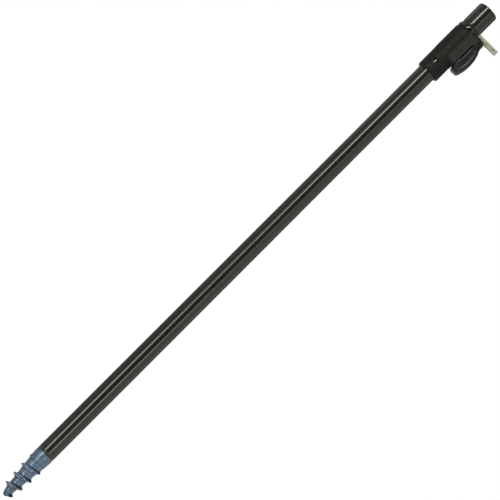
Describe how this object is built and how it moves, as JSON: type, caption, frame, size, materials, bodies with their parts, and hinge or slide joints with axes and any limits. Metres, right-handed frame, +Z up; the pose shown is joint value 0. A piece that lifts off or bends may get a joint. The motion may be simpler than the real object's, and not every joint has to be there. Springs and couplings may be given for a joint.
{
  "type": "bank stick",
  "caption": "Telescopic fishing bank stick with an auger point, black tube, cam-lever clamp collar, sliding tommy bar and a threaded head for a rod rest.",
  "frame": {"origin": "on the stick's axis at the joint between the outer tube and the screw point, where the ground holds the stick", "axes": "+Z up the stick from the point to the head, +X to the side of the cam lever and the tommy bar, -Y the front with the round hole in the collar"},
  "size_m": [0.0474, 0.0244, 0.665],
  "materials": {
    "anodised_tube": "black anodised, satin, faint olive-brown cast, fine lengthwise drawing lines",
    "anodised_head": "black anodised, turned, semi-gloss",
    "cast_point": "cast alloy, slate-blue passivated, slightly rough",
    "moulded_collar": "black moulded nylon, fine texture",
    "gloss_cap": "black moulded acetal, smooth",
    "moulded_lever": "black moulded nylon, satin",
    "brake_pad": "dark hard rubber",
    "guide_plastic": "black acetal",
    "seal_rubber": "black nitrile rubber",
    "pin_steel": "ground steel pin, dulled",
    "bar_steel": "plain steel bar, satin, warm grey"
  },
  "bodies": {
    "stick": {"outer_tube": "anodised_tube", "screw_point": "cast_point", "collar_body": "moulded_collar", "collar_cap": "gloss_cap", "wiper_ring": "seal_rubber", "lever_pivot_pin": "pin_steel"},
    "inner_section": {"inner_tube": "anodised_tube", "inner_tube_guide": "guide_plastic", "head": "anodised_head", "bar_friction_ring": "seal_rubber"},
    "tommy_bar": {"tommy_bar": "bar_steel"},
    "lever": {"cam_lever": "moulded_lever"},
    "pad": {"pressure_pad": "brake_pad"}
  },
  "joints": [
    {"name": "inner_tube_slide", "type": "slide", "parent": "stick", "child": "inner_section", "axis": [0, 0, 1], "range_m": [0, 0.45]},
    {"name": "lever_hinge", "type": "hinge", "parent": "stick", "child": "lever", "pos_m": [0.0166, 0, 0.5753], "axis": [0, -1, 0], "range_deg": [0, 80]},
    {"name": "pad_release", "type": "slide", "parent": "stick", "child": "pad", "axis": [1, 0, 0], "range_m": [0, 0.0004]},
    {"name": "tommy_bar_slide", "type": "slide", "parent": "inner_section", "child": "tommy_bar", "axis": [1, 0, 0], "range_m": [-0.0258, 0]}
  ],
  "couplings": [
    {"joint": "pad_release", "follows": "lever_hinge", "m_per_rad": 0.000286}
  ]
}
